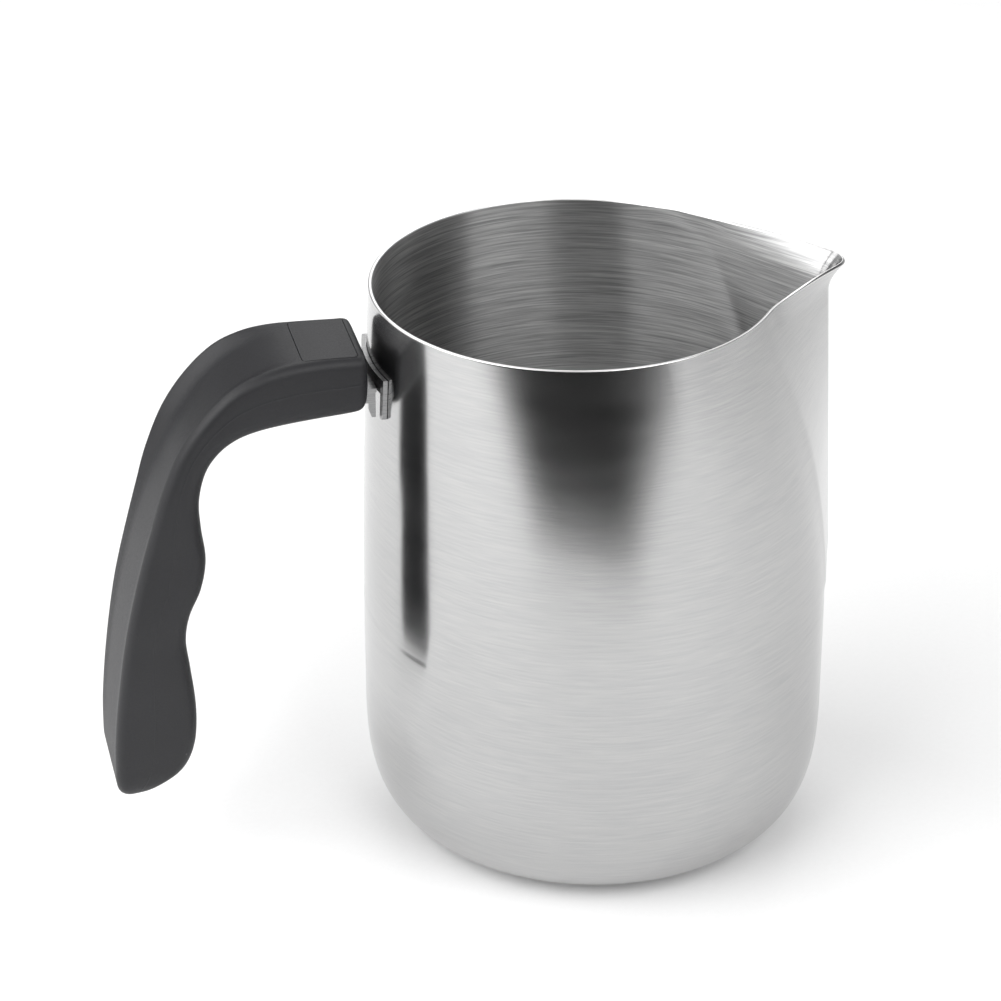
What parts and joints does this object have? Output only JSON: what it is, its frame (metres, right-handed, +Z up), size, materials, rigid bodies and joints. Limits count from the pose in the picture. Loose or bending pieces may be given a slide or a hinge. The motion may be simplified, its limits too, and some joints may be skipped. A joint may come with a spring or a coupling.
{
  "type": "candle melting pot",
  "caption": "Seamless metal pouring pot with a pressed V spout, rounded base and a moulded handle with finger grips screwed to a welded bracket",
  "frame": {"origin": "centre of the flat base, on the axis of the pot's round lower wall, on the surface the pot stands on", "axes": "+X from the handle to the spout, +Z up, +Y to the left of someone who looks from the handle to the spout; the handle, the bracket and the spout's ridge lie on the XZ plane"},
  "size_m": [0.1604, 0.1, 0.127],
  "materials": {
    "stainless_sheet": "satin-polished outside, coarse circular brushing inside, bright rim",
    "stainless_bracket": "mill finish with bright sheared edges",
    "phenolic_moulding": "satin black moulding with fine grain",
    "plated_steel": "bright zinc plating"
  },
  "bodies": {
    "root": {"pot_body": "stainless_sheet", "handle_bracket": "stainless_bracket", "handle_grip": "phenolic_moulding", "screw_cover": "phenolic_moulding", "handle_screw": "plated_steel", "flat_washer": "plated_steel", "square_nut": "plated_steel"}
  },
  "joints": []
}
